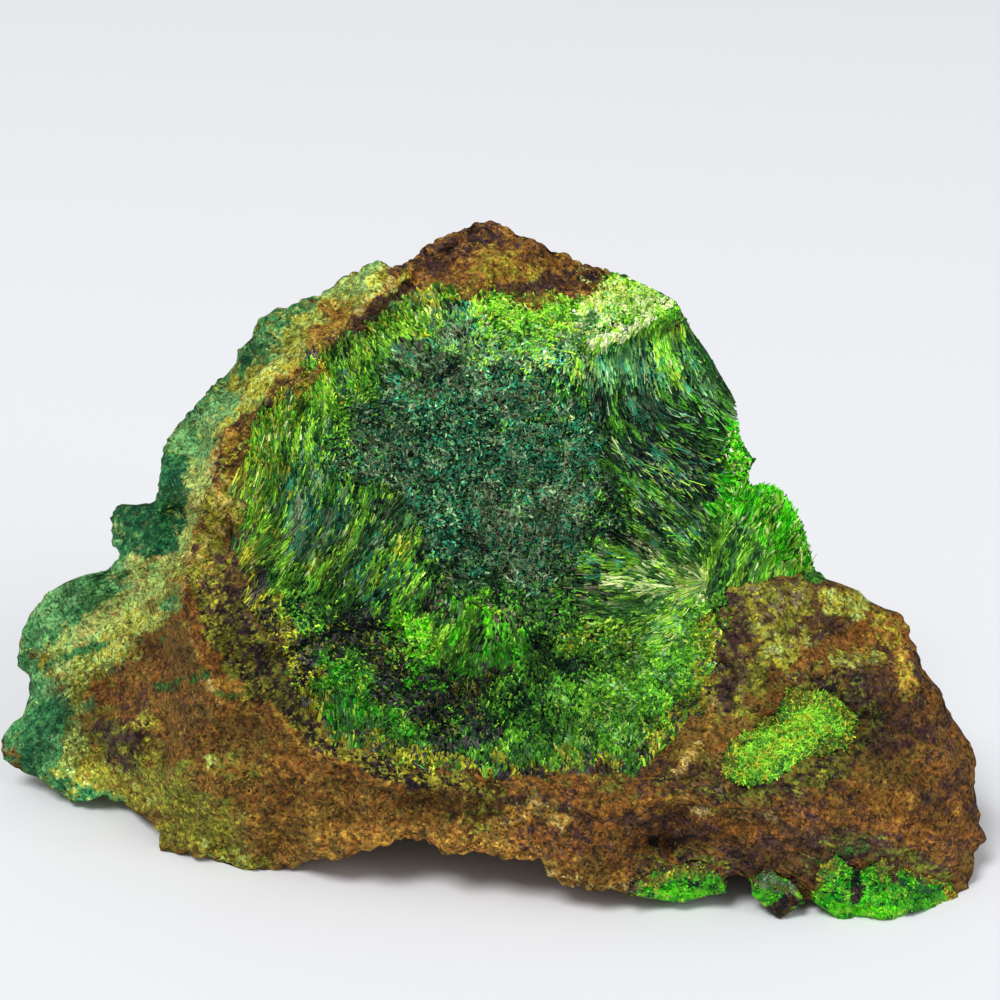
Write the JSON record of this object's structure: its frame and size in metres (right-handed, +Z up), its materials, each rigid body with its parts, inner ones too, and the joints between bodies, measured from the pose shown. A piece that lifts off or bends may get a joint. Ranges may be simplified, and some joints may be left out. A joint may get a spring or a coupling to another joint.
{
  "type": "cuprosklodowskite specimen",
  "caption": "Loose mineral hand piece: rough brown iron-stained host rock with a mat of green needle crystals on its face, a crystal patch and edge crusts.",
  "frame": {"origin": "middle of the bounding box on the ground that the stone stands on", "axes": "+X to the right as one looks at the crystal face, +Y away from the viewer through the stone, +Z up"},
  "size_m": [0.0664, 0.0336, 0.0384],
  "materials": {
    "host_rock": "rough weathered iron-stained rock, green copper stain on the left side",
    "needle_crystals": "velvety needle crystals, lime green at the rim and dark blue-green in the middle",
    "lime_crystals": "fine lime-green needle crystals",
    "edge_crystals": "translucent saturated green crystals"
  },
  "bodies": {
    "root": {"matrix": "host_rock", "crystal_mat": "needle_crystals", "shoulder_patch": "lime_crystals", "edge_crust_left": "edge_crystals", "edge_crust_middle": "edge_crystals", "edge_crust_right": "edge_crystals"}
  },
  "joints": []
}
